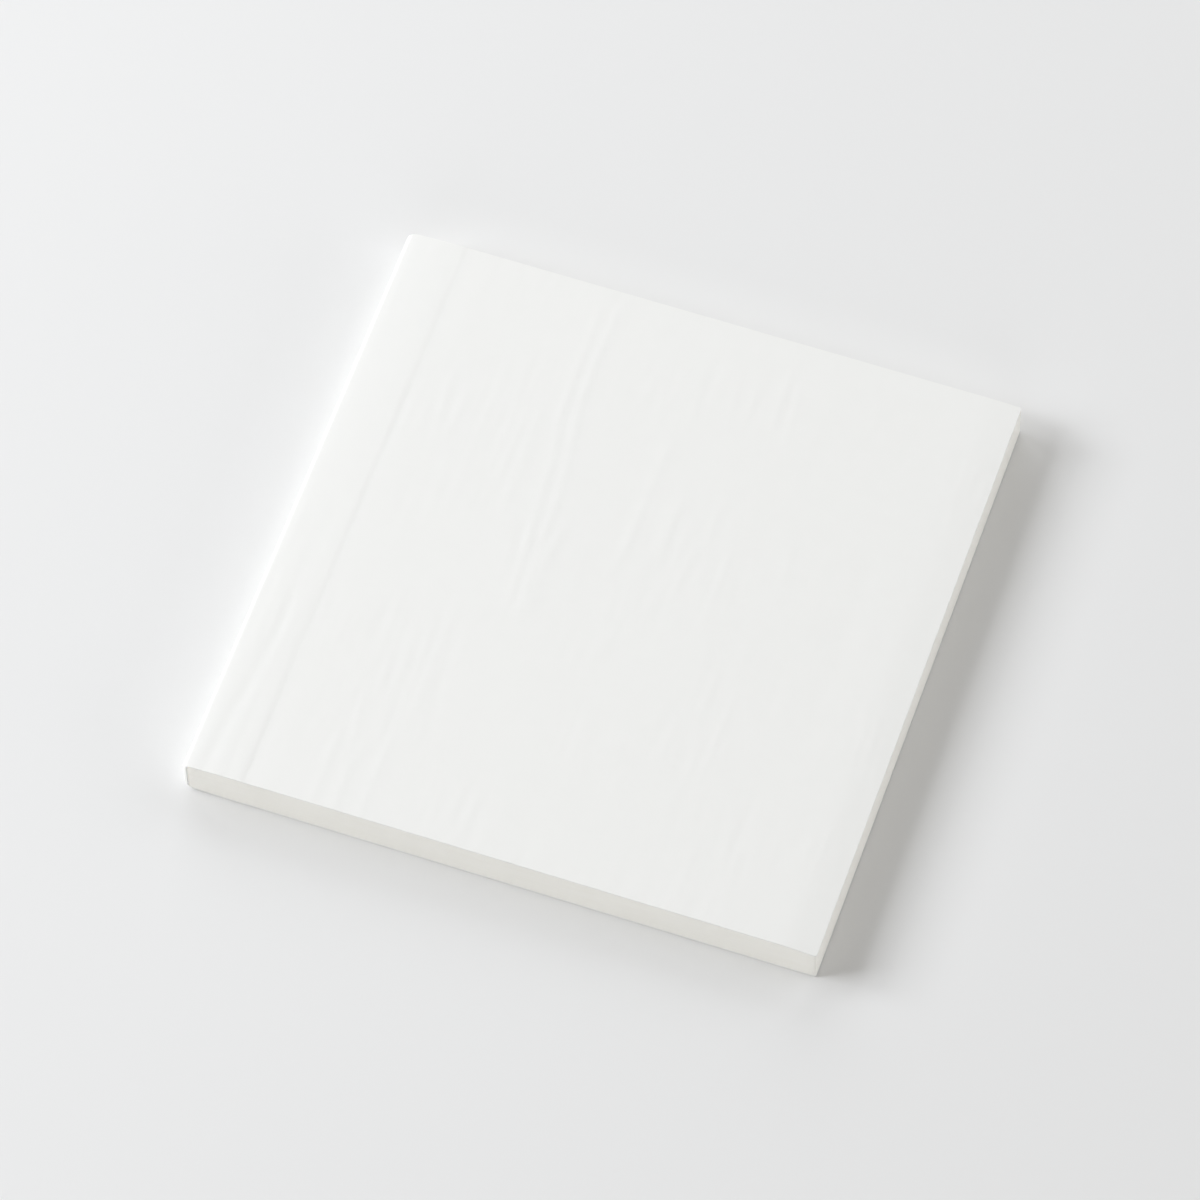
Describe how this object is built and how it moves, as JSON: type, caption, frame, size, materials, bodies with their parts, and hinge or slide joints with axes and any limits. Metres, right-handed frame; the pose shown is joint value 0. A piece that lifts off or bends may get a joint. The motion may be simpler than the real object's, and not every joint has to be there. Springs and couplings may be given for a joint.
{
  "type": "soft-cover notebook",
  "caption": "Square soft-cover notebook of uncoated cotton paper, glued at the spine, with covers that open on scored creases.",
  "frame": {"origin": "centre of the underside, on the outer face of the back cover, where the book lies on the table", "axes": "+X from the spine to the fore-edge, +Y from the tail to the head, +Z from the back cover to the front cover"},
  "size_m": [0.15, 0.15, 0.0106],
  "materials": {
    "cover_paper": "uncoated, matt",
    "leaf_paper": "uncoated, matt, trimmed edges",
    "binding_glue": "dried glue, satin"
  },
  "bodies": {
    "block": {"page_block": "leaf_paper", "binding_glue": "binding_glue", "spine_cover": "cover_paper"},
    "front_cover": {"front_cover": "cover_paper"},
    "back_cover": {"back_cover": "cover_paper"}
  },
  "joints": [
    {"name": "front_cover_hinge", "type": "hinge", "parent": "block", "child": "front_cover", "pos_m": [-0.06, 0, 0.0106], "axis": [0, -1, 0], "range_deg": [0, 180]},
    {"name": "back_cover_hinge", "type": "hinge", "parent": "block", "child": "back_cover", "pos_m": [-0.06, 0, 0], "axis": [0, 1, 0], "range_deg": [0, 180]}
  ]
}
